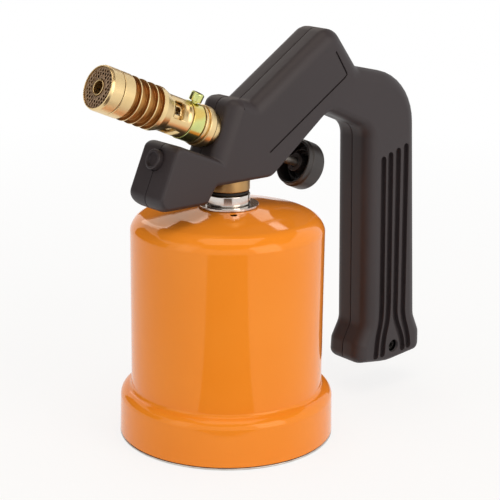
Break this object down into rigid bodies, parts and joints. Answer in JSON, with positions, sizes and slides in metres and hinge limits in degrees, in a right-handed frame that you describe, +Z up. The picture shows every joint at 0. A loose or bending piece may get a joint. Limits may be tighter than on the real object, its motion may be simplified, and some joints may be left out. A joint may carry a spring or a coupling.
{
  "type": "gas cartridge torch",
  "caption": "Hand torch with a finned brass burner on a valve in a moulded handle, screwed onto a steel holder with a twist-off base for a pierceable gas cartridge",
  "frame": {"origin": "centre of the base plate, on the surface that the torch stands on", "axes": "+Z up along the cartridge holder, -X toward the burner, +X toward the handle, XZ the parting plane of the case"},
  "size_m": [0.2092, 0.1078, 0.1999],
  "materials": {
    "orange_enamel": "gloss",
    "galvanised_steel": "satin",
    "chrome_plate": "polished",
    "turned_brass": "satin",
    "yellow_zinc_plate": "bright",
    "black_rubber": "matt",
    "charcoal_plastic": "fine texture",
    "flame_steel": "heat darkened"
  },
  "bodies": {
    "holder": {"holder_shell": "orange_enamel", "neck_washer": "chrome_plate", "neck_bush": "chrome_plate"},
    "base": {"base_plate": "galvanised_steel", "gas_cartridge": "galvanised_steel"},
    "seal": {"neck_seal": "black_rubber"},
    "head": {"stem_gasket": "black_rubber", "inlet_stem": "turned_brass", "piercing_needle": "galvanised_steel", "valve_body": "turned_brass", "gland_nut": "turned_brass", "gland_o_ring": "black_rubber", "burner_union": "turned_brass", "jet_holder": "turned_brass", "jet_nozzle": "galvanised_steel", "air_tube": "turned_brass", "case_left": "charcoal_plastic", "case_right": "charcoal_plastic", "nose_plug": "charcoal_plastic", "foot_screw": "galvanised_steel", "arm_screw": "galvanised_steel", "nose_screw": "galvanised_steel"},
    "spindle": {"valve_spindle": "galvanised_steel"},
    "knob": {"knob": "charcoal_plastic"},
    "burner": {"burner_barrel": "turned_brass", "burner_cap": "turned_brass", "flame_mesh": "flame_steel", "pilot_tube": "turned_brass", "clamp_ring": "yellow_zinc_plate"},
    "thumb_screw": {"thumb_screw": "yellow_zinc_plate"}
  },
  "joints": [
    {"name": "base_twist", "type": "hinge", "parent": "holder", "child": "base", "pos_m": [0, 0, 0], "axis": [0, 0, 1], "range_deg": [0, 25]},
    {"name": "seal_lift", "type": "slide", "parent": "holder", "child": "seal", "axis": [0, 0, 1], "range_m": [0, 0.006]},
    {"name": "head_turn", "type": "hinge", "parent": "seal", "child": "head", "pos_m": [0, 0, 0], "axis": [0, 0, 1], "range_deg": [0, 1440]},
    {"name": "spindle_travel", "type": "slide", "parent": "head", "child": "spindle", "axis": [0.9219, 0, -0.3875], "range_m": [0, 0.002]},
    {"name": "knob_turn", "type": "hinge", "parent": "spindle", "child": "knob", "pos_m": [0, 0, 0.15102], "axis": [0.9219, 0, -0.3875], "range_deg": [0, 720]},
    {"name": "burner_turn", "type": "hinge", "parent": "head", "child": "burner", "pos_m": [0, 0, 0.15102], "axis": [-0.9219, 0, 0.3875], "range_deg": [-45, 45]},
    {"name": "thumb_screw_turn", "type": "hinge", "parent": "burner", "child": "thumb_screw", "pos_m": [-0.02609, 0, 0.16199], "axis": [0.379, -0.2079, 0.9017], "range_deg": [0, 360]}
  ],
  "couplings": [
    {"joint": "head_turn", "follows": "seal_lift", "rad_per_m": 4188.8},
    {"joint": "knob_turn", "follows": "spindle_travel", "rad_per_m": 6283.2}
  ]
}
